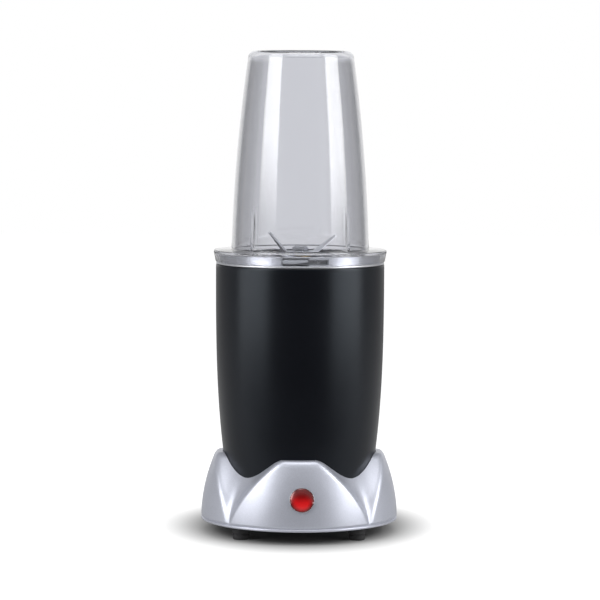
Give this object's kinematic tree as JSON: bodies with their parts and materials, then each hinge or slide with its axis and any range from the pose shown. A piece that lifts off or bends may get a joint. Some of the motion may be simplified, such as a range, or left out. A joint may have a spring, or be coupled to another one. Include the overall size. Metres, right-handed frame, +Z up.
{
  "type": "countertop blender",
  "caption": "Personal countertop blender: an inverted clear cup with a bladed collar locks by a short twist onto a tapered motor barrel standing on a four-peaked skirt with rubber feet.",
  "frame": {"origin": "on the table, midway between the four feet, under the vertical axis of the motor", "axes": "+Z up along the motor axis, -Y towards the badge on the front, +X to the right seen from the front"},
  "size_m": [0.141, 0.141, 0.3445],
  "materials": {
    "silver_painted": "silver paint on moulded plastic, satin",
    "black_satin": "black, soft satin",
    "dark_plastic": "dark grey moulded plastic",
    "grey_plastic": "mid grey moulded plastic",
    "clear_plastic": "clear polished plastic",
    "black_rubber": "black moulded rubber",
    "grey_rubber": "grey silicone rubber",
    "red_gloss": "deep red, high gloss",
    "steel": "bright stainless steel",
    "laminations": "varnished steel sheet",
    "copper_wire": "enamelled copper wire",
    "sleeve_brass": "plain brass bush",
    "carbon": "pressed carbon"
  },
  "bodies": {
    "base": {"base_skirt": "silver_painted", "badge": "red_gloss", "cord_gland": "black_rubber", "bottom_plate": "dark_plastic", "base_screw_1": "steel", "base_screw_2": "steel", "base_screw_3": "steel", "base_screw_4": "steel", "rubber_foot_1": "black_rubber", "rubber_foot_2": "black_rubber", "rubber_foot_3": "black_rubber", "rubber_foot_4": "black_rubber", "barrel_housing": "black_satin", "bayonet_ring": "silver_painted", "well_insert": "grey_plastic", "shaft_seal": "black_rubber", "pin_spring_1": "steel", "pin_spring_2": "steel", "pin_spring_3": "steel", "switch_body": "dark_plastic", "lower_bracket": "laminations", "upper_bracket": "laminations", "lower_bearing": "steel", "upper_bearing": "steel", "stator_core": "laminations", "field_coil_left": "copper_wire", "field_coil_right": "copper_wire", "motor_bolt_1": "steel", "motor_bolt_2": "steel", "motor_damper_1": "grey_rubber", "motor_damper_2": "grey_rubber", "motor_damper_3": "grey_rubber", "motor_damper_4": "grey_rubber", "brush_holder_front": "dark_plastic", "brush_holder_rear": "dark_plastic", "carbon_brush_front": "carbon", "carbon_brush_rear": "carbon", "brush_spring_front": "steel", "brush_spring_rear": "steel"},
    "rotor": {"motor_shaft": "steel", "armature_core": "laminations", "winding_lower": "copper_wire", "winding_upper": "copper_wire", "commutator": "copper_wire", "cooling_fan": "dark_plastic", "drive_coupling": "steel"},
    "pin_1": {"activator_pin_1": "dark_plastic"},
    "pin_2": {"activator_pin_2": "dark_plastic"},
    "pin_3": {"activator_pin_3": "dark_plastic"},
    "button": {"switch_button": "red_gloss"},
    "blade_unit": {"blade_holder": "grey_plastic", "gasket_ring": "grey_rubber", "sleeve_bearing": "sleeve_brass"},
    "blades": {"blade_spindle": "steel", "lower_blade": "steel", "upper_blade": "steel", "blade_nut": "steel", "driven_coupling": "dark_plastic"},
    "cup": {"cup": "clear_plastic"}
  },
  "joints": [
    {"name": "jar_lift", "type": "slide", "parent": "base", "child": "blade_unit", "axis": [0, 0, 1], "range_m": [0, 0.05]},
    {"name": "cup_twist", "type": "hinge", "parent": "blade_unit", "child": "cup", "pos_m": [0, 0, 0.2], "axis": [0, 0, 1], "range_deg": [0, 14]},
    {"name": "motor_spin", "type": "hinge", "parent": "base", "child": "rotor", "pos_m": [0, 0, 0.1], "axis": [0, 0, 1], "continuous": true},
    {"name": "blade_spin", "type": "hinge", "parent": "blade_unit", "child": "blades", "pos_m": [0, 0, 0.19], "axis": [0, 0, 1], "continuous": true},
    {"name": "pin_1_press", "type": "slide", "parent": "base", "child": "pin_1", "axis": [0, 0, -1], "range_m": [0, 0.002], "stiffness_N_per_m": 120, "deforming": ["pin_spring_1"]},
    {"name": "pin_2_press", "type": "slide", "parent": "base", "child": "pin_2", "axis": [0, 0, -1], "range_m": [0, 0.002], "stiffness_N_per_m": 120, "deforming": ["pin_spring_2"]},
    {"name": "pin_3_press", "type": "slide", "parent": "base", "child": "pin_3", "axis": [0, 0, -1], "range_m": [0, 0.002], "stiffness_N_per_m": 120, "deforming": ["pin_spring_3"]},
    {"name": "button_press", "type": "slide", "parent": "base", "child": "button", "axis": [0, 0, -1], "range_m": [0, 0.001], "stiffness_N_per_m": 120}
  ],
  "couplings": [
    {"joint": "blade_spin", "follows": "motor_spin", "ratio": 1},
    {"joint": "pin_1_press", "follows": "cup_twist", "m_per_rad": 0.008177},
    {"joint": "pin_2_press", "follows": "cup_twist", "m_per_rad": 0.008177},
    {"joint": "pin_3_press", "follows": "cup_twist", "m_per_rad": 0.008177},
    {"joint": "button_press", "follows": "cup_twist", "m_per_rad": 0.004088}
  ]
}
